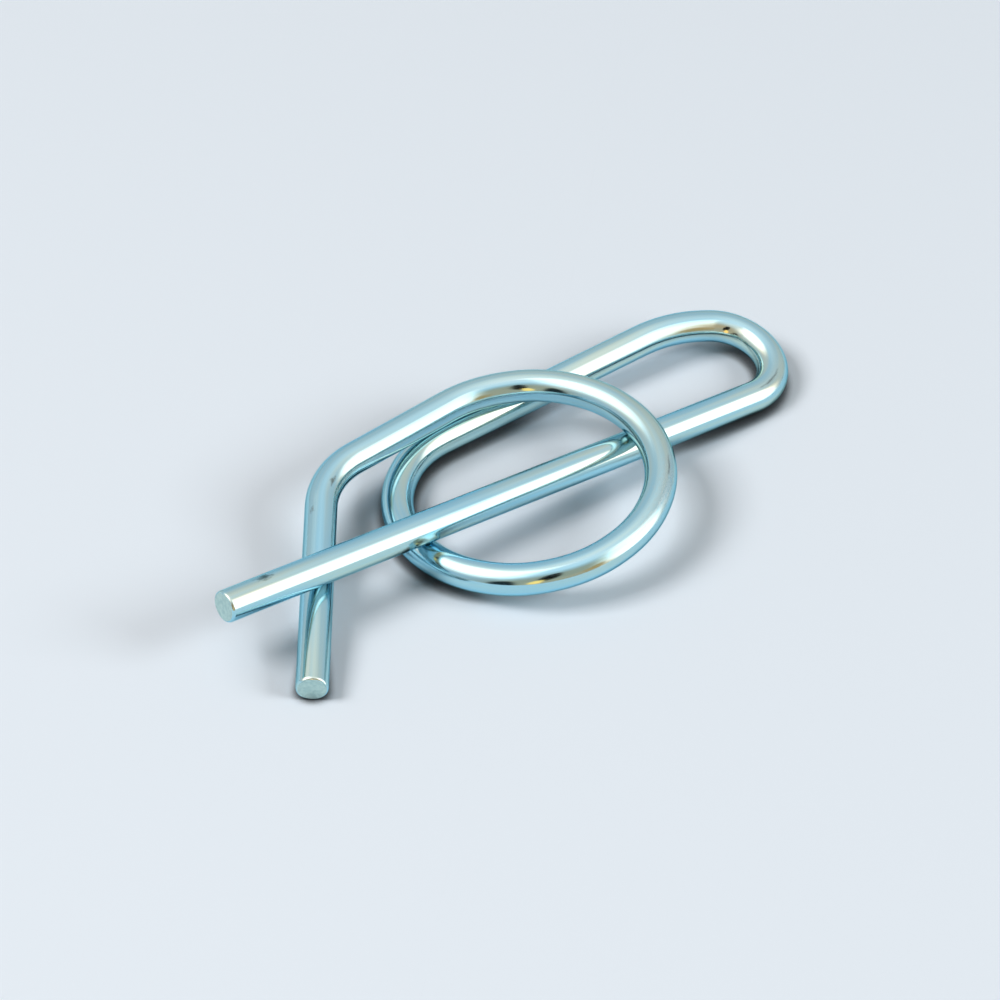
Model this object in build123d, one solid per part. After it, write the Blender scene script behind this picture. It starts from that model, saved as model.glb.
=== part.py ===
"""Ring cotter pin: one length of round spring wire, bent to shape.

The long leg is the pin. It runs to the finger loop, where the wire turns back
and goes into the ring. The ring closes round a shaft and springs over the long
leg, and the wire ends in the short lock leg, which passes under the long leg.
The pin lies as it rests on a flat surface: on the ring's low side, the nose of
the finger loop and the end of the lock leg.

Units are millimetres and degrees. Headings are measured from +X towards +Y.
The route is laid out about the ring's centre, with the long leg along +X, and
the finished pin stands on Z = 0 with its bounding box centred on the origin.
"""
from build123d import *
import os
from math import cos, radians, sin, tan

# Wire
wire_diameter = 3.0
end_round = 0.25            # rounded rim of the two sheared ends
crossing_gap = 0.12         # air between two strands where one passes over the other

# Ring
ring_bore = 21.0            # inside diameter, which closes round the shaft
ring_entry_angle = 88.3     # where the wire joins the ring, seen from its centre
ring_turn = 365.0           # the whole turn of the ring, its lead-in included
lead_in_radius = 9.6        # centreline radius of the tighter first bend
lead_in_turn = 35.0
ring_arcs = 11              # arcs that make up the rest of the ring
arc_share = 0.97            # arc radius as a share of the ring's, which leaves a short run between arcs
ring_lean = 6.15            # rise of the ring towards the finger loop
ring_roll = -2.3            # rise of the ring along +Y

# Long leg and finger loop
long_leg_offset = -0.2      # distance from the ring's centre, along Y
long_leg_tip = 34.2         # from the ring's centre back to the free end
finger_loop_reach = 26.2    # from the ring's centre to the start of the loop's nose
nose_turn = 156.5           # the rest of the way back to the ring is the shoulder's bend
shoulder_radius = 16.0      # centreline radius where the loop straightens towards the ring
shoulder_run = 0.5          # straight wire between the nose and the shoulder

# Lock leg
exit_strand = 14.6          # from the ring to the corner of the lock leg
lock_bend_radius = 8.2
lock_bend_turn = 49.0
lock_leg = 25.0             # from that corner to the free end
lock_leg_dip = 7.2          # fall of the lock leg towards its free end

# Worked out from the sizes above
stack = wire_diameter + crossing_gap
ring_radius = (ring_bore + wire_diameter) / 2
ring_pitch = stack * 360 / ring_turn
lean_slope = tan(radians(ring_lean))
roll_slope = tan(radians(ring_roll))
main_start = ring_entry_angle + lead_in_turn
arc_turn = (ring_turn - lead_in_turn) / ring_arcs
entry_heading = ring_entry_angle + 90
exit_heading = entry_heading + ring_turn
# The long leg passes over the ring's near side and under its far side
long_leg_slope = lean_slope + ring_pitch / (4 * ring_radius) - stack / ring_radius


def direction(angle):
    """Unit vector in plan at an angle."""
    return Vector(cos(radians(angle)), sin(radians(angle)))


def at_height(spot, height):
    """A plan position with its height set."""
    return Vector(spot.X, spot.Y, height)


def meet(first, first_heading, second, second_heading):
    """Plan position where two straight lines cross."""
    along, across = direction(first_heading), direction(second_heading)
    apart = second - first
    reach = (apart.X * across.Y - apart.Y * across.X) / (along.X * across.Y - along.Y * across.X)
    return first + along * reach


def ring_height(spot, angle):
    """Height of the ring's centreline above its centre: its lean, its roll and its pitch."""
    return lean_slope * spot.X + roll_slope * spot.Y + ring_pitch * (angle - 270) / 360


def ring_corners():
    """Corners of the polygon whose rounded corners are the ring, and its first and last points."""
    lead_centre = direction(main_start) * (ring_radius - lead_in_radius)
    start = lead_centre + direction(ring_entry_angle) * lead_in_radius
    lead_angle = ring_entry_angle + lead_in_turn / 2
    lead_corner = lead_centre + direction(lead_angle) * (lead_in_radius / cos(radians(lead_in_turn / 2)))
    corners = [at_height(lead_corner, ring_height(lead_corner, lead_angle))]
    for arc in range(ring_arcs):
        angle = main_start + (arc + 0.5) * arc_turn
        corner = direction(angle) * (ring_radius / cos(radians(arc_turn / 2)))
        corners.append(at_height(corner, ring_height(corner, angle)))
    end_angle = ring_entry_angle + ring_turn
    end = direction(end_angle) * ring_radius
    return (at_height(start, ring_height(start, ring_entry_angle)), corners,
            at_height(end, ring_height(end, end_angle)))


def nose_radius(ring_start):
    """Centreline radius of the finger loop's nose, which fills the width between its two strands."""
    shoulder_turn = radians(entry_heading - nose_turn)
    run = direction(nose_turn) * (shoulder_run + shoulder_radius * tan(shoulder_turn / 2))
    # Square distances from the entry strand's line, which the whole loop has to reach
    across = direction(entry_heading - 90)
    width = across.dot(ring_start - Vector(finger_loop_reach, long_leg_offset) - run)
    return width / across.dot(Vector(0, 1) + direction(nose_turn - 90))


def finger_loop_corners(ring_start, first_corner):
    """The two corners of the finger loop, at the nose and at the shoulder."""
    nose_x = finger_loop_reach + nose_radius(ring_start) * tan(radians(nose_turn / 2))
    nose = Vector(nose_x, long_leg_offset, long_leg_slope * nose_x)
    shoulder = meet(nose, nose_turn, ring_start, entry_heading)
    entry_slope = (first_corner.Z - ring_start.Z) / plan_distance(first_corner, ring_start)
    return nose, at_height(shoulder, ring_start.Z - entry_slope * plan_distance(shoulder, ring_start))


def plan_distance(first, second):
    """Distance between two points seen from above."""
    return Vector(second.X - first.X, second.Y - first.Y).length


def lock_leg_points(ring_end):
    """The corner and the free end of the lock leg, which dips under the long leg."""
    heading = exit_heading + lock_bend_turn
    slope = tan(radians(lock_leg_dip))
    corner = ring_end + direction(exit_heading) * exit_strand
    tip = corner + direction(heading) * lock_leg
    crossing = meet(corner, heading, Vector(0, long_leg_offset), 0)
    crossing_height = long_leg_slope * crossing.X - drop_below_long_leg(heading, slope)
    corner_height = crossing_height + slope * plan_distance(corner, crossing)
    return at_height(corner, corner_height), at_height(tip, corner_height - slope * lock_leg)


def drop_below_long_leg(heading, slope):
    """Height difference that keeps a strand crossing under the long leg a whole stack away."""
    over = Vector(1, 0, long_leg_slope)
    under = at_height(direction(heading), -slope)
    square = over.cross(under)
    return stack * square.length / abs(square.Z)


def centreline():
    """The wire's route, as straight runs joined by tangent arcs."""
    ring_start, corners, ring_end = ring_corners()
    nose, shoulder = finger_loop_corners(ring_start, corners[0])
    lock_corner, lock_tip = lock_leg_points(ring_end)
    tip = Vector(-long_leg_tip, long_leg_offset, -long_leg_slope * long_leg_tip)
    points = [tip, nose, shoulder, *corners, lock_corner, lock_tip]
    loop_radii = [nose_radius(ring_start), shoulder_radius]
    ring_radii = [lead_in_radius * arc_share] + [ring_radius * arc_share] * ring_arcs
    return FilletPolyline(*points, radius=[*loop_radii, *ring_radii, lock_bend_radius])


def wire_along(route):
    """Round wire along a route, with its two sheared rims rounded."""
    start = Plane(origin=route @ 0, z_dir=route % 0)
    wire = sweep(start * Circle(wire_diameter / 2), path=route)
    sheared_faces = [face for face in wire.faces() if face.geom_type == GeomType.PLANE]
    return fillet([face.outer_wire().edges() for face in sheared_faces], end_round)


def stood_on_origin(solid):
    """The solid moved so that its lowest point is at Z = 0 under the centre of its box."""
    box = solid.bounding_box()
    return Pos(-box.center().X, -box.center().Y, -box.min.Z) * solid


def main():
    os.makedirs("parts", exist_ok=True)
    pin = stood_on_origin(wire_along(centreline()))
    pin.label = "bent_wire_pin"
    export_step(pin, "parts/bent_wire_pin.step")


main()
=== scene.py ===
"""Looks of the ring cotter pin: plated spring wire, lying on a pale surface.

The pin is one length of round wire. Its route is laid out about the ring's
centre, with the long leg along +X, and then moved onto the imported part's box.
"""
import logging
import math
from dataclasses import dataclass, field
from enum import Enum, IntEnum

import bmesh
import bpy
from mathutils import Matrix, Vector, noise


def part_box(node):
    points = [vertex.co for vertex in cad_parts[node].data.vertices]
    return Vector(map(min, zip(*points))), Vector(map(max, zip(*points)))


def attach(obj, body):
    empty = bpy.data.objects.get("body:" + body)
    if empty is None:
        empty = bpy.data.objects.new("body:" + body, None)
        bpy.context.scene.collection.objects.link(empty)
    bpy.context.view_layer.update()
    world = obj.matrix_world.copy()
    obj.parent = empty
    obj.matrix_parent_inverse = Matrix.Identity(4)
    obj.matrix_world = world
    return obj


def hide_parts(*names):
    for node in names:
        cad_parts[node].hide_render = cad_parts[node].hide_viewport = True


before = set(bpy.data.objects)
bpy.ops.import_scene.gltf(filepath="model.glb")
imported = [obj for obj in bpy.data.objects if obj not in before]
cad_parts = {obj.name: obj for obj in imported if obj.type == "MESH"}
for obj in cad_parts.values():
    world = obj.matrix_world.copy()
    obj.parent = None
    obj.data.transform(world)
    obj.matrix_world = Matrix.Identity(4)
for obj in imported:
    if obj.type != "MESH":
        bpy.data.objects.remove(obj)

LOG = logging.getLogger("ring_cotter_pin")
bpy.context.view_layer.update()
NODE = "bent_wire_pin"
MM = 0.001

Rgb = tuple[float, float, float]
Scale = tuple[float, float, float]


class WireEnd(Enum):
    """The wire's two free ends."""

    LONG_LEG = "long leg"
    LOCK_LEG = "lock leg"


class FinishSlot(IntEnum):
    """The places of the pin's finishes in its mesh."""

    PLATE = 0
    CUT = 1


def direction(angle: float) -> Vector:
    """Unit vector in plan at an angle in degrees."""
    return Vector((math.cos(math.radians(angle)), math.sin(math.radians(angle)), 0.0))


def at_height(spot: Vector, height: float) -> Vector:
    """A plan position with its height set."""
    return Vector((spot.x, spot.y, height))


def plan_distance(first: Vector, second: Vector) -> float:
    """Distance between two points seen from above."""
    return (second - first).to_2d().length


def meet(first: Vector, first_heading: float, second: Vector, second_heading: float) -> Vector:
    """Where two straight lines cross in plan.

    Args:
        first: a point on the first line.
        first_heading: the first line's heading, in degrees.
        second: a point on the second line.
        second_heading: the second line's heading, in degrees.

    Returns:
        The crossing, at the first point's height.
    """
    along, across = direction(first_heading), direction(second_heading)
    apart = second - first
    reach = (apart.x * across.y - apart.y * across.x) / (along.x * across.y - along.y * across.x)
    return first + along * reach


@dataclass(frozen=True)
class Corner:
    """A point where the wire turns.

    Attributes:
        spot: where its two straight runs meet.
        radius: centreline radius of the bend.
    """

    spot: Vector
    radius: float


@dataclass
class WireRoute:
    """The wire's centreline, in metres and degrees, about the ring's centre.

    Attributes:
        wire_diameter: of the wire.
        crossing_gap: air between two strands where one passes over the other.
        ring_bore: inside diameter of the ring.
        ring_entry_angle: where the wire comes onto the ring.
        ring_turn: how far the wire goes round the ring.
        lead_in_radius: of the tighter bend that starts the ring.
        lead_in_turn: how far that bend turns.
        ring_arcs: sides of the polygon that the rest of the ring is rounded from.
        arc_share: share of a polygon side that its arcs take up.
        ring_lean: slope of the ring along +X.
        ring_roll: slope of the ring along +Y.
        long_leg_offset: of the long leg's line from the ring's centre.
        long_leg_tip: how far the long leg's free end is from the ring's centre.
        finger_loop_reach: where the long leg's straight ends at the finger loop.
        nose_turn: of the loop's nose.
        shoulder_radius: of the loop's wide far side.
        shoulder_run: straight wire between the nose and the shoulder.
        exit_strand: from the ring to the lock leg's corner.
        lock_bend_radius: of the bend into the lock leg.
        lock_bend_turn: of that bend.
        lock_leg: from its corner to its free end.
        lock_leg_dip: slope of the lock leg, down to its free end.
    """

    wire_diameter: float = 3.0 * MM
    crossing_gap: float = 0.12 * MM
    ring_bore: float = 21.0 * MM
    ring_entry_angle: float = 88.3
    ring_turn: float = 365.0
    lead_in_radius: float = 9.6 * MM
    lead_in_turn: float = 35.0
    ring_arcs: int = 11
    arc_share: float = 0.97
    ring_lean: float = 6.15
    ring_roll: float = -2.3
    long_leg_offset: float = -0.2 * MM
    long_leg_tip: float = 34.2 * MM
    finger_loop_reach: float = 26.2 * MM
    nose_turn: float = 156.5
    shoulder_radius: float = 16.0 * MM
    shoulder_run: float = 0.5 * MM
    exit_strand: float = 14.6 * MM
    lock_bend_radius: float = 8.2 * MM
    lock_bend_turn: float = 49.0
    lock_leg: float = 25.0 * MM
    lock_leg_dip: float = 7.2

    @property
    def stack(self) -> float:
        """Centre distance of two strands where one passes over the other."""
        return self.wire_diameter + self.crossing_gap

    @property
    def ring_radius(self) -> float:
        """Centreline radius of the ring."""
        return (self.ring_bore + self.wire_diameter) / 2

    @property
    def ring_pitch(self) -> float:
        """Rise of the ring's coil in a whole turn."""
        return self.stack * 360 / self.ring_turn

    @property
    def entry_heading(self) -> float:
        """Heading of the strand that runs from the finger loop into the ring."""
        return self.ring_entry_angle + 90

    @property
    def exit_heading(self) -> float:
        """Heading of the strand that leaves the ring."""
        return self.entry_heading + self.ring_turn

    @property
    def long_leg_slope(self) -> float:
        """Rise of the long leg along +X, over the ring's near side and under its far side."""
        lean = math.tan(math.radians(self.ring_lean))
        return lean + self.ring_pitch / (4 * self.ring_radius) - self.stack / self.ring_radius

    def ring_height(self, spot: Vector, angle: float) -> float:
        """Height of the ring's centreline above its centre, from its lean, roll and pitch."""
        lean, roll = math.tan(math.radians(self.ring_lean)), math.tan(math.radians(self.ring_roll))
        return lean * spot.x + roll * spot.y + self.ring_pitch * (angle - 270) / 360

    def ring_points(self) -> tuple[Vector, list[Vector], Vector]:
        """Lays out the ring, with its lead-in bend, as a polygon.

        Returns:
            The ring's first point, the polygon's corners and the ring's last point.
        """
        main_start = self.ring_entry_angle + self.lead_in_turn
        arc_turn = (self.ring_turn - self.lead_in_turn) / self.ring_arcs
        lead_centre = direction(main_start) * (self.ring_radius - self.lead_in_radius)
        start = lead_centre + direction(self.ring_entry_angle) * self.lead_in_radius
        half_turn = math.radians(self.lead_in_turn / 2)
        angle = self.ring_entry_angle + self.lead_in_turn / 2
        corner = lead_centre + direction(angle) * (self.lead_in_radius / math.cos(half_turn))
        corners = [at_height(corner, self.ring_height(corner, angle))]
        for arc in range(self.ring_arcs):
            angle = main_start + (arc + 0.5) * arc_turn
            corner = direction(angle) * (self.ring_radius / math.cos(math.radians(arc_turn / 2)))
            corners.append(at_height(corner, self.ring_height(corner, angle)))
        end_angle = self.ring_entry_angle + self.ring_turn
        end = direction(end_angle) * self.ring_radius
        return (at_height(start, self.ring_height(start, self.ring_entry_angle)), corners,
                at_height(end, self.ring_height(end, end_angle)))

    def nose_radius(self, ring_start: Vector) -> float:
        """Centreline radius of the loop's nose, which fills the width between its strands.

        Args:
            ring_start: the ring's first point.

        Returns:
            The radius.
        """
        shoulder_turn = math.radians(self.entry_heading - self.nose_turn)
        run = direction(self.nose_turn) * (
            self.shoulder_run + self.shoulder_radius * math.tan(shoulder_turn / 2))
        across = direction(self.entry_heading - 90)
        nose_start = Vector((self.finger_loop_reach, self.long_leg_offset, 0.0))
        width = across.dot(at_height(ring_start, 0.0) - nose_start - run)
        return width / across.dot(Vector((0.0, 1.0, 0.0)) + direction(self.nose_turn - 90))

    def loop_points(self, ring_start: Vector, first_corner: Vector) -> tuple[Vector, Vector]:
        """Places the finger loop, whose far strand climbs straight into the ring.

        Args:
            ring_start: the ring's first point.
            first_corner: the first corner of the ring's polygon.

        Returns:
            The loop's two corners, at its nose and its shoulder.
        """
        reach = self.nose_radius(ring_start) * math.tan(math.radians(self.nose_turn / 2))
        nose_x = self.finger_loop_reach + reach
        nose = Vector((nose_x, self.long_leg_offset, self.long_leg_slope * nose_x))
        shoulder = meet(nose, self.nose_turn, ring_start, self.entry_heading)
        slope = (first_corner.z - ring_start.z) / plan_distance(first_corner, ring_start)
        drop = slope * plan_distance(shoulder, ring_start)
        return nose, at_height(shoulder, ring_start.z - drop)

    def lock_points(self, ring_end: Vector) -> tuple[Vector, Vector]:
        """Places the lock leg, which dips under the long leg.

        Args:
            ring_end: the ring's last point.

        Returns:
            The lock leg's corner and free end.
        """
        heading = self.exit_heading + self.lock_bend_turn
        slope = math.tan(math.radians(self.lock_leg_dip))
        corner = ring_end + direction(self.exit_heading) * self.exit_strand
        tip = corner + direction(heading) * self.lock_leg
        leg = Vector((0.0, self.long_leg_offset, 0.0))
        crossing = meet(corner, heading, leg, 0.0)
        along = Vector((1.0, 0.0, self.long_leg_slope))
        square = along.cross(at_height(direction(heading), -slope))
        height = self.long_leg_slope * crossing.x - self.stack * square.length / abs(square.z)
        corner_height = height + slope * plan_distance(corner, crossing)
        tip_height = corner_height - slope * self.lock_leg
        return at_height(corner, corner_height), at_height(tip, tip_height)

    def ends_and_corners(self) -> tuple[Vector, list[Corner], Vector]:
        """Follows the wire from end to end.

        Returns:
            The long leg's free end, every bend in order and the lock leg's free end.
        """
        ring_start, ring_corners, ring_end = self.ring_points()
        nose, shoulder = self.loop_points(ring_start, ring_corners[0])
        lock_corner, lock_tip = self.lock_points(ring_end)
        tip_height = -self.long_leg_slope * self.long_leg_tip
        tip = Vector((-self.long_leg_tip, self.long_leg_offset, tip_height))
        radii = [self.lead_in_radius] + [self.ring_radius] * self.ring_arcs
        corners = [Corner(nose, self.nose_radius(ring_start)),
                   Corner(shoulder, self.shoulder_radius)]
        corners += [Corner(spot, radius * self.arc_share)
                    for spot, radius in zip(ring_corners, radii)]
        corners.append(Corner(lock_corner, self.lock_bend_radius))
        return tip, corners, lock_tip


class NodeSketch:
    """A small helper that adds and links nodes of one tree."""

    def __init__(self, tree: bpy.types.NodeTree) -> None:
        """Keeps the tree to draw in."""
        self.tree = tree

    def add(self, kind: str, inputs: dict | None = None, **settings: object) -> bpy.types.Node:
        """Adds a node.

        Args:
            kind: the node's type name.
            inputs: values or output sockets for its inputs, by name or index.
            settings: the node's own properties.

        Returns:
            The new node.
        """
        node = self.tree.nodes.new(kind)
        for name, value in settings.items():
            setattr(node, name, value)
        for name, value in (inputs or {}).items():
            socket = node.inputs[name]
            if isinstance(value, bpy.types.NodeSocket):
                self.tree.links.new(value, socket)
            else:
                socket.default_value = value
        return node

    def math(self, operation: str, *values: object) -> bpy.types.NodeSocket:
        """The output of a math node on these values or sockets."""
        return self.add("ShaderNodeMath", dict(enumerate(values)), operation=operation).outputs[0]

    def grain(self, place: bpy.types.NodeSocket, scale: Scale, detail: float,
              roughness: float = 0.5) -> bpy.types.NodeSocket:
        """Noise that is stretched along the wire.

        Args:
            place: the point on the straightened wire.
            scale: of the noise across the wire, twice, and along it.
            detail: of the noise.
            roughness: of the noise.

        Returns:
            The noise's value.
        """
        laid = self.add("ShaderNodeMapping", {"Vector": place, "Scale": scale})
        return self.add("ShaderNodeTexNoise", {
            "Vector": laid.outputs[0], "Scale": 1.0, "Detail": detail,
            "Roughness": roughness}).outputs["Fac"]

    def ramp(self, factor: bpy.types.NodeSocket, stops: list[tuple[float, Rgb]],
             interpolation: str = "LINEAR") -> bpy.types.NodeSocket:
        """The colour that a ramp gives a factor.

        Args:
            factor: the ramp's input.
            stops: positions from 0 to 1 with their colours.
            interpolation: how the ramp runs between its stops.

        Returns:
            The ramp's colour output.
        """
        node = self.add("ShaderNodeValToRGB", {"Fac": factor})
        elements = node.color_ramp.elements
        node.color_ramp.interpolation = interpolation
        while len(elements) < len(stops):
            elements.new(1.0)
        for element, (position, colour) in zip(elements, stops):
            element.position = position
            element.color = (*colour, 1.0)
        return node.outputs["Color"]


@dataclass(frozen=True)
class Mark:
    """A nick, scratch or scuff on the wire.

    Attributes:
        along: how far its middle is from the long leg's tip.
        side: the side of the wire it is on, in degrees round the section.
        length: along the wire.
        width: round the wire.
        colour: of the marked metal.
        strength: how fully it covers the plate.
        grain: how broken up it is, from 0 to 1.
        outer: where it starts, as a share of its half size.
        inner: where it is full.
    """

    along: float
    side: float
    length: float
    width: float
    colour: Rgb
    strength: float = 0.9
    grain: float = 0.6
    outer: float = 1.3
    inner: float = 0.1

    def cover(self, sketch: NodeSketch, place: bpy.types.NodeSocket, radius: float,
              speckle: bpy.types.NodeSocket) -> bpy.types.NodeSocket:
        """How much of the mark there is at each point.

        Args:
            sketch: the material's node tree.
            place: the point on the straightened wire.
            radius: of the wire.
            speckle: fine noise that breaks the mark up.

        Returns:
            The cover, from 0 to the mark's strength.
        """
        spot = direction(self.side) * radius
        centre = (spot.x, spot.y, self.along)
        apart = sketch.add("ShaderNodeVectorMath", {0: place, 1: centre}, operation="SUBTRACT")
        size = (2 / self.width, 2 / self.width, 2 / self.length)
        scaled = sketch.add("ShaderNodeVectorMath", {0: apart.outputs[0], 1: size},
                            operation="MULTIPLY")
        far = sketch.add("ShaderNodeVectorMath", {0: scaled.outputs[0]}, operation="LENGTH")
        swing = self.grain * 3
        broken = sketch.math("MULTIPLY_ADD", speckle, swing,
                             sketch.math("SUBTRACT", far.outputs["Value"], swing / 2))
        return sketch.add("ShaderNodeMapRange", {
            "Value": broken, "From Min": self.outer, "From Max": self.inner,
            "To Max": self.strength}).outputs[0]


@dataclass(frozen=True)
class ZincPlate:
    """Bright zinc plate under a thin clear-blue chromate, on wire with fine draw lines.

    Attributes:
        silver: the plate's usual colour.
        blue: where the chromate is thicker.
        straw: where the chromate is thinner.
        rim: tint of what it mirrors at a glance.
        roughness: of the bright wire.
        smoothest: share of that roughness on the brightest draw lines.
        roughest: share of it on the dullest.
        wear: roughness that a mark adds.
        line_width: width of a draw line.
        line_length: length of a draw line.
        line_depth: depth of a draw line.
        cloud_scale: noise scale of the chromate's clouds.
        streak_scale: noise scale of its streaks along the wire.
        streak_share: how much of its tone is in the streaks.
        speckle_scale: noise scale that breaks up the marks.
        wave_scale: noise scale of the wire's slight waves.
        wave_depth: depth of those waves.
        wire_radius: of the wire it is on.
        marks: where the bending and handling have marked it.
    """

    silver: Rgb = (0.43, 0.625, 0.675)
    blue: Rgb = (0.34, 0.60, 0.73)
    straw: Rgb = (0.54, 0.64, 0.58)
    rim: Rgb = (0.42, 0.66, 0.74)
    roughness: float = 0.11
    smoothest: float = 0.8
    roughest: float = 1.5
    wear: float = 0.35
    line_width: float = 0.12 * MM
    line_length: float = 9.0 * MM
    line_depth: float = 0.002 * MM
    cloud_scale: Scale = (260.0, 260.0, 55.0)
    streak_scale: Scale = (1500.0, 1500.0, 38.0)
    streak_share: float = 0.45
    speckle_scale: Scale = (5200.0, 5200.0, 1900.0)
    wave_scale: Scale = (420.0, 420.0, 190.0)
    wave_depth: float = 0.02 * MM
    wire_radius: float = 1.5 * MM
    marks: tuple[Mark, ...] = (
        Mark(4.1 * MM, -98.0, 1.5 * MM, 0.75 * MM, (0.05, 0.09, 0.09), 0.85, 0.8),
        Mark(194.9 * MM, -92.0, 1.0 * MM, 0.45 * MM, (0.09, 0.10, 0.08), 0.75, 0.8),
        Mark(198.7 * MM, -33.0, 0.7 * MM, 0.4 * MM, (0.12, 0.13, 0.11), 0.6, 0.8),
        Mark(62.4 * MM, -70.0, 3.2 * MM, 0.25 * MM, (0.10, 0.12, 0.13), 0.7, 0.4),
        Mark(149.6 * MM, -24.0, 10.0 * MM, 1.6 * MM, (0.50, 0.58, 0.57), 0.5, 1.0),
        Mark(151.6 * MM, -30.0, 2.4 * MM, 0.22 * MM, (0.13, 0.15, 0.16), 0.7, 0.5))

    def material(self) -> bpy.types.Material:
        """Makes the plated wire's material, which is laid along the straightened wire.

        Returns:
            The material.
        """
        made = bpy.data.materials.new("zinc_plate")
        made.use_nodes = True
        sketch = NodeSketch(made.node_tree)
        shader = made.node_tree.nodes["Principled BSDF"]
        along = sketch.add("ShaderNodeAttribute", attribute_name="straightened").outputs["Vector"]
        shader.inputs["Metallic"].default_value = 1.0
        shader.inputs["Specular Tint"].default_value = (*self.rim, 1.0)
        clouds = sketch.grain(along, self.cloud_scale, 2.0, 0.45)
        streaks = sketch.grain(along, self.streak_scale, 1.0, 0.4)
        tone = sketch.math("MULTIPLY_ADD", streaks, self.streak_share,
                           sketch.math("MULTIPLY", clouds, 1 - self.streak_share))
        colour = sketch.ramp(tone, [(0.38, self.blue), (0.50, self.silver), (0.62, self.straw)])
        speckle = sketch.grain(along, self.speckle_scale, 2.0)
        worn = None
        for mark in self.marks:
            cover = mark.cover(sketch, along, self.wire_radius, speckle)
            worn = cover if worn is None else sketch.math("MAXIMUM", worn, cover)
            colour = sketch.add("ShaderNodeMix", {
                "Factor": cover, 6: colour, 7: (*mark.colour, 1.0)}, data_type="RGBA").outputs[2]
        made.node_tree.links.new(colour, shader.inputs["Base Color"])
        lines = (1 / self.line_width, 1 / self.line_width, 1 / self.line_length)
        drawn = sketch.grain(along, lines, 2.0)
        spread = sketch.add("ShaderNodeMapRange", {
            "Value": drawn, "From Min": 0.35, "From Max": 0.75,
            "To Min": self.roughness * self.smoothest, "To Max": self.roughness * self.roughest})
        rough = sketch.math("MULTIPLY_ADD", worn, self.wear, spread.outputs[0])
        made.node_tree.links.new(rough, shader.inputs["Roughness"])
        waves = sketch.grain(along, self.wave_scale, 1.0, 0.4)
        dents = sketch.add("ShaderNodeBump", {
            "Height": waves, "Strength": 0.35, "Distance": self.wave_depth})
        fine = sketch.add("ShaderNodeBump", {
            "Height": drawn, "Strength": 0.25, "Distance": self.line_depth,
            "Normal": dents.outputs["Normal"]})
        made.node_tree.links.new(fine.outputs["Normal"], shader.inputs["Normal"])
        return made


@dataclass(frozen=True)
class ShearedZinc:
    """The wire's cut ends: grey, dull and grainy under the same plate.

    Attributes:
        colour: between the grains.
        grain: colour of the grains.
        roughness: of the cut face.
        metallic: how metallic it is.
        grain_scale: noise scale of the grains.
        pit_depth: depth of the pits between them.
    """

    colour: Rgb = (0.42, 0.56, 0.55)
    grain: Rgb = (0.55, 0.67, 0.64)
    roughness: float = 0.42
    metallic: float = 0.85
    grain_scale: float = 2600.0
    pit_depth: float = 0.03 * MM

    def material(self) -> bpy.types.Material:
        """Makes the cut faces' material, on Object coordinates.

        Returns:
            The material.
        """
        made = bpy.data.materials.new("sheared_zinc")
        made.use_nodes = True
        sketch = NodeSketch(made.node_tree)
        shader = made.node_tree.nodes["Principled BSDF"]
        spot = sketch.add("ShaderNodeTexCoord").outputs["Object"]
        grain = sketch.add("ShaderNodeTexNoise", {
            "Vector": spot, "Scale": self.grain_scale, "Detail": 3.0})
        colour = sketch.ramp(grain.outputs["Fac"], [(0.35, self.colour), (0.65, self.grain)])
        made.node_tree.links.new(colour, shader.inputs["Base Color"])
        shader.inputs["Metallic"].default_value = self.metallic
        shader.inputs["Roughness"].default_value = self.roughness
        rough = sketch.add("ShaderNodeBump", {
            "Height": grain.outputs["Fac"], "Strength": 0.5, "Distance": self.pit_depth})
        made.node_tree.links.new(rough.outputs["Normal"], shader.inputs["Normal"])
        return made


@dataclass(frozen=True)
class Burr:
    """A small lip that the shears left on the rim of a cut end.

    Attributes:
        end: the end it is on.
        side: of the wire, in degrees round the section.
        height: above the cut face.
        spread: in degrees round the rim.
        crest: share of the wire's radius that its crest is out.
        breadth: share of the radius from its crest to its foot.
    """

    end: WireEnd
    side: float
    height: float
    spread: float
    crest: float = 0.95
    breadth: float = 0.08

    def rise(self, end: WireEnd, angle: float, share: float) -> float:
        """How much the burr lifts a point of a cut face.

        Args:
            end: the end that the point is on.
            angle: of the point round the section, in degrees.
            share: of the wire's radius that the point is out.

        Returns:
            The lift along the wire.
        """
        if end is not self.end:
            return 0.0
        apart = (angle - self.side + 180) % 360 - 180
        lip = max(0.0, 1 - abs(share - self.crest) / self.breadth)
        return self.height * lip * math.exp(-(apart / self.spread) ** 2)


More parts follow.
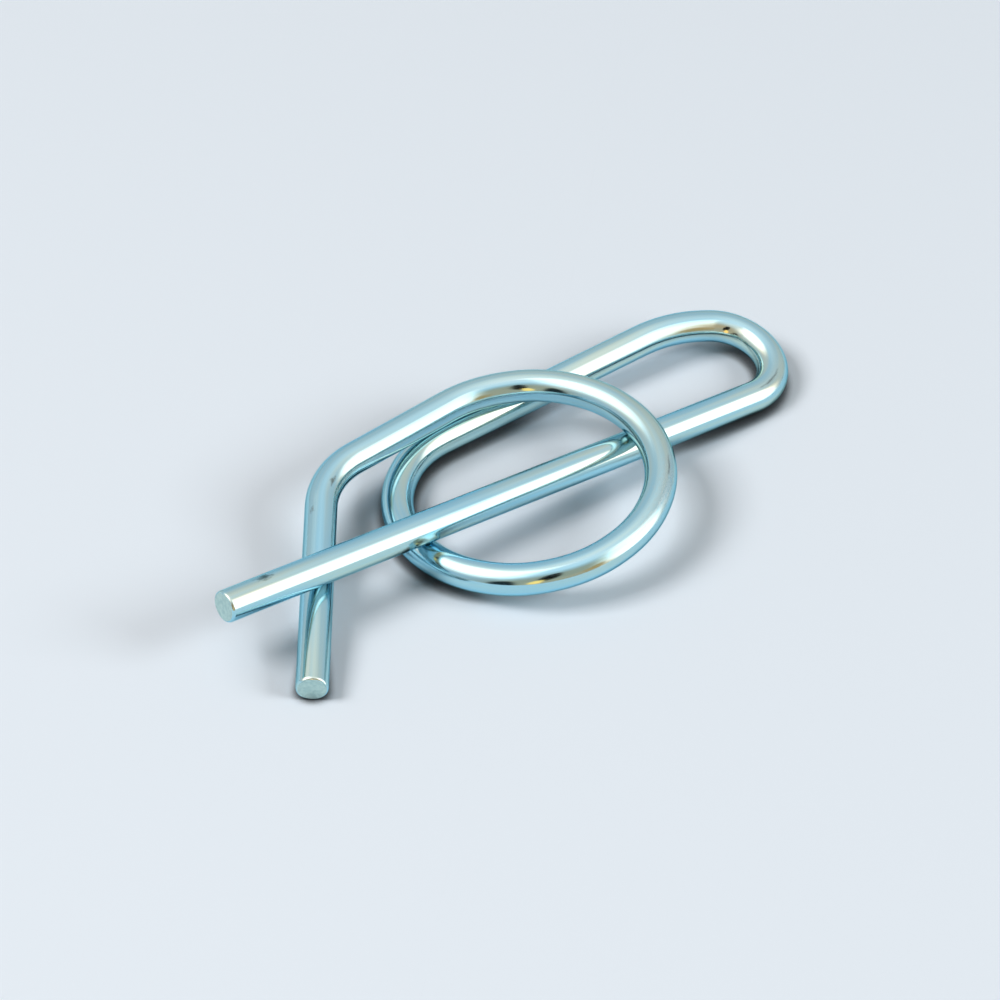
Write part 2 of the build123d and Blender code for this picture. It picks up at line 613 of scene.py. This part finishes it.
@dataclass
class BentWirePin:
    """The pin itself: the wire along its route, with two sheared ends.

    Attributes:
        route: where the wire runs.
        plate: the finish along the wire.
        cut: the finish of the two end faces.
        sides: facets round the wire.
        bend_step: degrees of bend between two rings of facets.
        rim: (share of the radius, depth below the crest) of the cut faces' rings.
        rim_depth: how far the rolled rim reaches along the wire.
        ripple: height of the cut faces' unevenness.
        ripple_scale: how fine that unevenness is.
        burrs: lips on the rims.
    """

    route: WireRoute = field(default_factory=WireRoute)
    plate: ZincPlate = field(default_factory=ZincPlate)
    cut: ShearedZinc = field(default_factory=ShearedZinc)
    sides: int = 72
    bend_step: float = 2.0
    rim: tuple[tuple[float, float], ...] = (
        (0.990, 0.16 * MM), (0.965, 0.08 * MM), (0.925, 0.02 * MM), (0.885, 0.0),
        (0.84, 0.012 * MM), (0.70, 0.03 * MM), (0.45, 0.04 * MM), (0.20, 0.045 * MM))
    rim_depth: float = 0.26 * MM
    ripple: float = 0.02 * MM
    ripple_scale: float = 900.0
    burrs: tuple[Burr, ...] = (
        Burr(WireEnd.LOCK_LEG, -28.0, 0.13 * MM, 13.0),
        Burr(WireEnd.LOCK_LEG, -122.0, 0.15 * MM, 10.0),
        Burr(WireEnd.LOCK_LEG, 60.0, 0.08 * MM, 25.0))

    def guide(self) -> bpy.types.Object:
        """Lays the route's corners out as a chain of edges.

        Returns:
            The chain, whose points hold each bend's radius and its number of facets.
        """
        tip, corners, lock_tip = self.route.ends_and_corners()
        spots = [tip, *(corner.spot for corner in corners), lock_tip]
        # The tube stops short of each end by the depth of its rounded rim
        spots[0] = tip + (spots[1] - tip).normalized() * self.rim_depth
        spots[-1] = lock_tip + (spots[-2] - lock_tip).normalized() * self.rim_depth
        mesh = bpy.data.meshes.new("wire_guide")
        mesh.from_pydata(spots, [(i, i + 1) for i in range(len(spots) - 1)], [])
        radii = [0.0, *(corner.radius for corner in corners), 0.0]
        steps = [1] * len(spots)
        for i in range(1, len(spots) - 1):
            turn = math.degrees((spots[i] - spots[i - 1]).angle(spots[i + 1] - spots[i]))
            steps[i] = max(2, round(turn / self.bend_step))
        for name, kind, values in (("bend_radius", "FLOAT", radii), ("bend_facets", "INT", steps)):
            mesh.attributes.new(name, kind, "POINT").data.foreach_set("value", values)
        guide = bpy.data.objects.new("pin", mesh)
        bpy.context.scene.collection.objects.link(guide)
        return guide

    def tree(self) -> bpy.types.NodeTree:
        """Draws the node tree that rounds the corners and runs the wire along them.

        Returns:
            The tree.
        """
        tree = bpy.data.node_groups.new("wire_along_route", "GeometryNodeTree")
        face = tree.interface
        face.new_socket("Geometry", in_out="INPUT", socket_type="NodeSocketGeometry")
        face.new_socket("Wire Radius", in_out="INPUT", socket_type="NodeSocketFloat")
        face.new_socket("Sides", in_out="INPUT", socket_type="NodeSocketInt")
        face.new_socket("Finish", in_out="INPUT", socket_type="NodeSocketMaterial")
        face.new_socket("Geometry", in_out="OUTPUT", socket_type="NodeSocketGeometry")
        sketch = NodeSketch(tree)
        given = sketch.add("NodeGroupInput").outputs
        radius = sketch.add("GeometryNodeInputNamedAttribute", {"Name": "bend_radius"},
                            data_type="FLOAT")
        facets = sketch.add("GeometryNodeInputNamedAttribute", {"Name": "bend_facets"},
                            data_type="INT")
        line = sketch.add("GeometryNodeMeshToCurve", {"Mesh": given["Geometry"]})
        bent = sketch.add("GeometryNodeFilletCurve", {
            "Curve": line.outputs[0], "Radius": radius.outputs["Attribute"],
            "Count": facets.outputs["Attribute"], "Limit Radius": False}, mode="POLY")
        along = sketch.add("GeometryNodeSplineParameter").outputs["Length"]
        kept = sketch.add("GeometryNodeCaptureAttribute", {"Geometry": bent.outputs[0]})
        kept.capture_items.new("FLOAT", "Along")
        tree.links.new(along, kept.inputs["Along"])
        section = sketch.add("GeometryNodeCurvePrimitiveCircle", {
            "Resolution": given["Sides"], "Radius": given["Wire Radius"]}, mode="RADIUS")
        place = sketch.add("GeometryNodeInputPosition").outputs[0]
        round_it = sketch.add("GeometryNodeCaptureAttribute", {"Geometry": section.outputs[0]})
        round_it.capture_items.new("VECTOR", "Section")
        tree.links.new(place, round_it.inputs["Section"])
        tube = sketch.add("GeometryNodeCurveToMesh", {
            "Curve": kept.outputs[0], "Profile Curve": round_it.outputs[0], "Fill Caps": True})
        parts = sketch.add("ShaderNodeSeparateXYZ", {"Vector": round_it.outputs["Section"]})
        straight = sketch.add("ShaderNodeCombineXYZ", {
            "X": parts.outputs["X"], "Y": parts.outputs["Y"], "Z": kept.outputs["Along"]})
        stored = sketch.add("GeometryNodeStoreNamedAttribute", {
            "Geometry": tube.outputs[0], "Name": "straightened", "Value": straight.outputs[0]},
            data_type="FLOAT_VECTOR", domain="POINT")
        smooth = sketch.add("GeometryNodeSetShadeSmooth", {"Geometry": stored.outputs[0]})
        real = sketch.add("GeometryNodeRealizeInstances", {"Geometry": smooth.outputs[0]})
        dressed = sketch.add("GeometryNodeSetMaterial", {
            "Geometry": real.outputs[0], "Material": given["Finish"]})
        sketch.add("NodeGroupOutput", {"Geometry": dressed.outputs[0]})
        return tree

    def wire(self) -> bpy.types.Object:
        """Runs the wire along its route.

        Returns:
            The wire as a plain mesh, in place about the ring's centre.
        """
        guide = self.guide()
        changer = guide.modifiers.new("wire", "NODES")
        changer.node_group = self.tree()
        sizes = {"Wire Radius": self.route.wire_diameter / 2, "Sides": self.sides,
                 "Finish": self.plate.material()}
        for item in changer.node_group.interface.items_tree:
            if item.in_out == "INPUT" and item.name in sizes:
                changer[item.identifier] = sizes[item.name]
        evaluated = guide.evaluated_get(bpy.context.evaluated_depsgraph_get())
        mesh = bpy.data.meshes.new_from_object(evaluated)
        guide.modifiers.remove(changer)
        guide.data = mesh
        mesh.name = "pin"
        return guide

    def lift(self, end: WireEnd, spot: Vector, section: Vector, share: float) -> float:
        """How much the shears have raised a point of a cut face.

        Args:
            end: the end that the point is on.
            spot: the tube's edge, straight out from the point.
            section: that edge on the wire's section.
            share: of the wire's radius that the point is out.

        Returns:
            The lift along the wire.
        """
        uneven = noise.noise(spot * self.ripple_scale) * self.ripple * min(1.0, share * 1.2)
        angle = math.degrees(math.atan2(section.y, section.x))
        return uneven + sum(burr.rise(end, angle, share) for burr in self.burrs)

    def shape_ends(self, mesh: bpy.types.Mesh) -> None:
        """Turns the tube's two flat caps into sheared faces with a rolled rim.

        Args:
            mesh: the tube.
        """
        shape = bmesh.new()
        shape.from_mesh(mesh)
        shape.faces.ensure_lookup_table()
        place = shape.verts.layers.float_vector["straightened"]
        caps = [face for face in shape.faces if len(face.verts) == self.sides]
        crest = min(self.rim, key=lambda row: row[1])[0]
        for cap in caps:
            outward = cap.normal.copy()
            centre = cap.calc_center_median()
            ring = list(cap.verts)
            length = ring[0][place].z
            end = WireEnd.LONG_LEG if length < self.route.long_leg_tip else WireEnd.LOCK_LEG
            bmesh.ops.delete(shape, geom=[cap], context="FACES_ONLY")
            first = [vert.co - centre for vert in ring]
            sections = [vert[place].copy() for vert in ring]
            for share, depth in self.rim:
                rise = self.rim_depth - depth
                fresh = []
                for arm, section in zip(first, sections):
                    out = rise + self.lift(end, centre + arm, section, share)
                    vert = shape.verts.new(centre + arm * share + outward * out)
                    vert[place] = (section.x * share, section.y * share, length)
                    fresh.append(vert)
                finish = FinishSlot.CUT if share < crest else FinishSlot.PLATE
                self.bridge(shape, ring, fresh, finish)
                ring = fresh
            hub = shape.verts.new(centre + outward * (self.rim_depth - self.rim[-1][1]))
            hub[place] = (0.0, 0.0, length)
            for i, vert in enumerate(ring):
                face = shape.faces.new((vert, ring[(i + 1) % len(ring)], hub))
                face.material_index = FinishSlot.CUT
                face.smooth = True
        shape.to_mesh(mesh)
        shape.free()

    @staticmethod
    def bridge(shape: bmesh.types.BMesh, outer: list, inner: list, finish: FinishSlot) -> None:
        """Joins two rings of points with faces that keep the outer ring's winding.

        Args:
            shape: the mesh to add to.
            outer: the ring already there.
            inner: the new ring, point for point.
            finish: of the new faces.
        """
        count = len(outer)
        for i in range(count):
            j = (i + 1) % count
            face = shape.faces.new((outer[i], outer[j], inner[j], inner[i]))
            face.material_index = finish
            face.smooth = True

    def build(self) -> bpy.types.Object:
        """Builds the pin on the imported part's box and gives it to the frame.

        Returns:
            The finished pin.
        """
        pin = self.wire()
        self.shape_ends(pin.data)
        pin.data.materials.append(self.cut.material())
        low, high = (Vector(corner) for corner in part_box(NODE))
        corners = [vert.co for vert in pin.data.vertices]
        own_low = Vector([min(spot[axis] for spot in corners) for axis in range(3)])
        own_high = Vector([max(spot[axis] for spot in corners) for axis in range(3)])
        shift = (low + high - own_low - own_high) / 2
        shift.z = low.z - own_low.z
        pin.data.transform(Matrix.Translation(shift))
        pin.data.update()
        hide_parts(NODE)
        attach(pin, "root")
        LOG.info("pin: %d faces", len(pin.data.polygons))
        return pin


@dataclass(frozen=True)
class Viewpoint:
    """Where the camera stands.

    Attributes:
        target: the point it looks at.
        heading: of its view, in degrees from +X towards +Y.
        elevation: above the horizon, in degrees.
        distance: from the target.
        roll: about its line of sight, in degrees.
        lens: focal length in millimetres.
        sensor: width of the sensor in millimetres.
        near: nearest distance that it sees.
    """

    target: Vector = Vector((0.0, 0.00326, 0.0))
    heading: float = 51.49
    elevation: float = 41.77
    distance: float = 0.5298
    roll: float = 2.38
    lens: float = 206.5
    sensor: float = 36.0
    near: float = 0.01

    def place(self) -> None:
        """Adds the camera and makes it the scene's own."""
        lens = bpy.data.cameras.new("camera")
        lens.sensor_width = self.sensor
        lens.lens = self.lens
        lens.clip_start = self.near
        camera = bpy.data.objects.new("camera", lens)
        bpy.context.scene.collection.objects.link(camera)
        flat = direction(self.heading)
        lift = math.radians(self.elevation)
        back = -flat * math.cos(lift) + Vector((0.0, 0.0, math.sin(lift)))
        turn = back.to_track_quat("Z", "Y").to_matrix().to_4x4()
        turn = turn @ Matrix.Rotation(math.radians(self.roll), 4, "Z")
        camera.matrix_world = Matrix.Translation(self.target + back * self.distance) @ turn
        bpy.context.scene.camera = camera


@dataclass(frozen=True)
class Patch:
    """A soft-edged oval of the room, placed as seen from the pin.

    Attributes:
        colour: of the light that comes from it.
        bearing: of its middle, in degrees from the viewer towards the view's right.
        lift: of its middle above the horizon.
        half_width: in degrees of bearing.
        half_height: in degrees of lift.
        edge: share of its size over which it fades.
    """

    colour: Rgb
    bearing: float
    lift: float
    half_width: float
    half_height: float
    edge: float = 0.3

    def over(self, sketch: NodeSketch, bearing: bpy.types.NodeSocket,
             lift: bpy.types.NodeSocket, behind: bpy.types.NodeSocket) -> bpy.types.NodeSocket:
        """Lays the patch over what is already drawn.

        Args:
            sketch: the room's node tree.
            bearing: bearing of the ray, in degrees.
            lift: lift of the ray, in degrees.
            behind: the colour so far.

        Returns:
            The colour with the patch on it.
        """
        turned = sketch.math("WRAP", sketch.math("SUBTRACT", bearing, self.bearing), 180.0, -180.0)
        wide = sketch.math("DIVIDE", turned, self.half_width)
        high = sketch.math("DIVIDE", sketch.math("SUBTRACT", lift, self.lift), self.half_height)
        far = sketch.math("SQRT", sketch.math("MULTIPLY_ADD", wide, wide,
                                              sketch.math("MULTIPLY", high, high)))
        cover = sketch.add("ShaderNodeMapRange", {
            "Value": far, "From Min": 1.0 + self.edge / 2, "From Max": 1.0 - self.edge / 2},
            interpolation_type="SMOOTHSTEP")
        mixed = sketch.add("ShaderNodeMix", {
            "Factor": cover.outputs[0], 6: behind, 7: (*self.colour, 1.0)}, data_type="RGBA")
        return mixed.outputs[2]


@dataclass(frozen=True)
class SoftLamp:
    """A square soft lamp that faces the pin.

    Attributes:
        name: the lamp's name.
        right: how far it hangs to the right of the view.
        away: how far it hangs from the viewer's side.
        up: above the floor.
        width: of its face.
        power: in watts.
        colour: of its light.
    """

    name: str
    right: float
    away: float
    up: float
    width: float
    power: float
    colour: Rgb = (1.0, 1.0, 1.0)


@dataclass
class Studio:
    """A pale floor and soft lights round the pin.

    Attributes:
        view: the camera's place, which the lights are set about.
        floor_colour: of the surface that the pin lies on.
        painted_reflection_tint: what the floor's colour is multiplied by where the wire mirrors
            it, a painted reflection brighter and bluer than the floor itself.
        floor_half: half the floor's width.
        floor_roughness: of the floor.
        floor_gloss: its specular level.
        painted_crevice_shade: how far the shade painted dark into the floor's colour near a
            contact reaches.
        fill: the room's even light.
        raggedness: how uneven the edges of the mirrored patches are.
        ragged_scale: noise scale of that unevenness.
        room: what the plate mirrors, from the horizon (0) to overhead (1).
        patches: the soft boxes, and the dark and warm things near the viewer.
        lamps: what lights the floor and the cut ends.
    """

    view: Viewpoint = field(default_factory=Viewpoint)
    floor_colour: Rgb = (0.80, 0.855, 0.92)
    # painted reflection: the floor looks brighter and bluer only in the wire's mirror
    painted_reflection_tint: Rgb = (1.0, 1.15, 1.16)
    floor_half: float = 1.5
    floor_roughness: float = 0.8
    floor_gloss: float = 0.15
    # reach of the contact shade painted into the floor's colour
    painted_crevice_shade: float = 1.5 * MM
    fill: Rgb = (0.24, 0.235, 0.225)
    raggedness: float = 0.15
    ragged_scale: float = 9.0
    room: tuple[tuple[float, Rgb], ...] = (
        (0.0, (0.69, 0.74, 0.77)), (0.45, (0.74, 0.80, 0.84)),
        (0.75, (1.13, 1.16, 1.17)), (1.0, (1.40, 1.29, 1.26)))
    patches: tuple[Patch, ...] = (
        Patch((0.74, 0.55, 0.37), 22.0, 10.0, 62.0, 44.0, 0.7),
        Patch((1.78, 1.44, 1.14), -80.0, 59.0, 54.0, 31.0, 1.0),
        Patch((3.0, 2.8, 2.8), -80.0, 60.0, 45.0, 24.0, 1.2),
        Patch((2.0, 1.6, 1.25), 77.0, 27.0, 30.0, 37.0, 0.9),
        Patch((2.9, 2.7, 2.7), 79.0, 28.0, 22.0, 31.0, 1.1),
        Patch((0.75, 0.45, 0.20), 42.0, 13.0, 8.0, 10.0, 0.9),
        Patch((0.01, 0.01, 0.01), 7.0, 34.0, 7.0, 19.0, 0.3),
        Patch((2.6, 1.3, 0.35), 1.0, 12.0, 5.0, 11.0, 0.3),
        Patch((0.02, 0.03, 0.03), -23.0, 9.0, 10.0, 16.0, 0.4))
    lamps: tuple[SoftLamp, ...] = (
        SoftLamp("key", -0.56, -0.18, 0.68, 0.36, 5.0),
        SoftLamp("right_card", 0.75, -0.2, 0.50, 0.4, 4.4, (0.93, 0.98, 1.0)))

    def from_view(self, right: float, away: float, up: float) -> Vector:
        """Turns a place that is given from the viewer into the scene's own.

        Args:
            right: distance to the right of the view.
            away: distance away from the viewer.
            up: distance up.

        Returns:
            The point.
        """
        flat = direction(self.view.heading)
        side = direction(self.view.heading - 90)
        return side * right + flat * away + Vector((0.0, 0.0, up))

    def floor(self) -> None:
        """Lays a wide floor just under the pin."""
        half = self.floor_half
        mesh = bpy.data.meshes.new("floor")
        spots = [(-half, -half, 0), (half, -half, 0), (half, half, 0), (-half, half, 0)]
        mesh.from_pydata(spots, [], [(0, 1, 2, 3)])
        floor = bpy.data.objects.new("floor", mesh)
        bpy.context.scene.collection.objects.link(floor)
        made = bpy.data.materials.new("pale_floor")
        made.use_nodes = True
        sketch = NodeSketch(made.node_tree)
        shader = made.node_tree.nodes["Principled BSDF"]
        # Painted shade: ambient occlusion runs the floor's colour to nearly black in the closed
        # crevice where the wire touches down
        painted_crevice_shade = sketch.add("ShaderNodeAmbientOcclusion", {"Distance": self.painted_crevice_shade},
                             samples=12).outputs["AO"]
        painted_shade_colour = tuple(0.12 * part for part in self.floor_colour)
        colour = sketch.ramp(painted_crevice_shade, [
            (0.0, (0.004, 0.004, 0.004)), (0.45, painted_shade_colour), (0.85, self.floor_colour)], "EASE")
        # Painted reflection: the floor turns brighter and bluer only in what the wire mirrors
        mirrored = sketch.add("ShaderNodeLightPath").outputs["Is Glossy Ray"]
        floor_with_painted_reflection = sketch.add("ShaderNodeMix", {
            "Factor": mirrored, 6: colour, 7: (*self.painted_reflection_tint, 1.0)},
            data_type="RGBA", blend_type="MULTIPLY")
        made.node_tree.links.new(floor_with_painted_reflection.outputs[2], shader.inputs["Base Color"])
        shader.inputs["Roughness"].default_value = self.floor_roughness
        shader.inputs["Specular IOR Level"].default_value = self.floor_gloss
        mesh.materials.append(made)

    def hang(self, soft: SoftLamp) -> None:
        """Hangs a soft lamp, turned to the pin and unseen in the plate.

        Args:
            soft: the lamp.
        """
        light = bpy.data.lights.new(soft.name, "AREA")
        light.shape = "RECTANGLE"
        light.size, light.size_y = soft.width, soft.width
        light.energy = soft.power
        light.color = soft.colour
        lamp = bpy.data.objects.new(soft.name, light)
        lamp.location = self.from_view(soft.right, soft.away, soft.up)
        lamp.visible_glossy = False
        lamp.rotation_euler = lamp.location.to_track_quat("Z", "Y").to_euler()
        bpy.context.scene.collection.objects.link(lamp)

    def surroundings(self) -> None:
        """Sets the room: what the plate mirrors, and an even light on everything else."""
        world = bpy.data.worlds.new("room")
        bpy.context.scene.world = world
        world.use_nodes = True
        sketch = NodeSketch(world.node_tree)
        ray = sketch.add("ShaderNodeTexCoord").outputs["Generated"]
        ragged = sketch.add("ShaderNodeTexNoise", {
            "Vector": ray, "Scale": self.ragged_scale, "Detail": 2.0})
        shake = sketch.add("ShaderNodeVectorMath", {
            0: ragged.outputs["Color"], 1: (-0.5, -0.5, -0.5)}, operation="ADD")
        bent = sketch.add("ShaderNodeVectorMath", {
            0: shake.outputs[0], 1: (self.raggedness,) * 3, 2: ray}, operation="MULTIPLY_ADD")
        bent = sketch.add("ShaderNodeVectorMath", {0: bent.outputs[0]}, operation="NORMALIZE")
        parts = []
        for axis in (self.from_view(1, 0, 0), self.from_view(0, -1, 0), Vector((0, 0, 1))):
            share = sketch.add("ShaderNodeVectorMath", {0: bent.outputs[0], 1: axis},
                               operation="DOT_PRODUCT")
            parts.append(share.outputs["Value"])
        bearing = sketch.math("DEGREES", sketch.math("ARCTAN2", parts[0], parts[1]))
        lift = sketch.math("DEGREES", sketch.math("ARCSINE", parts[2]))
        colour = sketch.ramp(sketch.math("DIVIDE", lift, 90.0), self.room)
        for patch in self.patches:
            colour = patch.over(sketch, bearing, lift, colour)
        mirrored = world.node_tree.nodes["Background"]
        world.node_tree.links.new(colour, mirrored.inputs["Color"])
        even = sketch.add("ShaderNodeBackground", {"Color": (*self.fill, 1.0), "Strength": 1.0})
        path = sketch.add("ShaderNodeLightPath").outputs
        # Light that the wire throws on the floor is left even, so its contact shade stays dark
        direct = sketch.math("LESS_THAN", path["Diffuse Depth"], 0.5)
        seen = sketch.math("MULTIPLY", path["Is Glossy Ray"], direct)
        mixed = sketch.add("ShaderNodeMixShader", {0: seen, 1: even.outputs[0],
                                                   2: mirrored.outputs[0]})
        output = world.node_tree.nodes["World Output"]
        world.node_tree.links.new(mixed.outputs[0], output.inputs["Surface"])

    def build(self) -> None:
        """Sets up the floor, the lamps, the room and the camera."""
        self.floor()
        for soft in self.lamps:
            self.hang(soft)
        self.surroundings()
        self.view.place()
        LOG.info("studio: camera and lamps are set")


def main() -> None:
    """Builds the pin and its studio."""
    logging.basicConfig(level=logging.INFO)
    BentWirePin().build()
    Studio().build()
    bpy.context.scene.view_settings.view_transform = "Standard"


if __name__ == "__main__":
    main()
